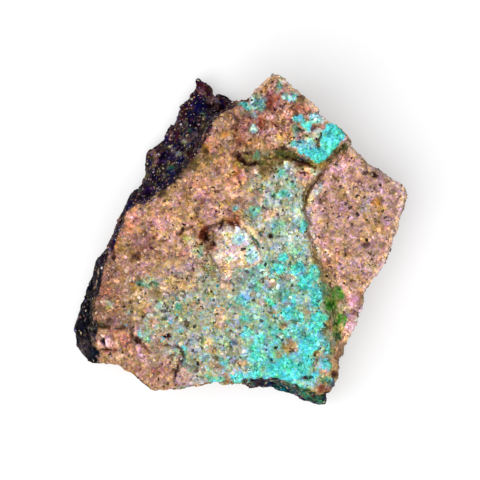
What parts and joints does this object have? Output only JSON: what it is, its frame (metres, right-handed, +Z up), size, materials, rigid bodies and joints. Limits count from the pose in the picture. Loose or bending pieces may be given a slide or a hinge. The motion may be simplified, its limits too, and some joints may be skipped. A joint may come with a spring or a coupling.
{
  "type": "ajoite specimen",
  "caption": "Broken slab of pinkish granular rock with two peaks, stepped plates and a small break-out on its face, dark flanks and a patchy blue-green mineral crust; lies on its back.",
  "frame": {"origin": "on the resting surface, under the middle of the bounding box", "axes": "+Z up, out of the crusted face; +Y from the lower edge towards the two peaks; +X towards the lower slab on the right"},
  "size_m": [0.0538, 0.0544, 0.0171],
  "materials": {
    "matrix_rock": "rough, granular, with a vitreous glint on its grains",
    "ajoite_crust": "matt to silky, finely granular"
  },
  "bodies": {
    "root": {"ajoite_rock": "matrix_rock"}
  },
  "joints": []
}
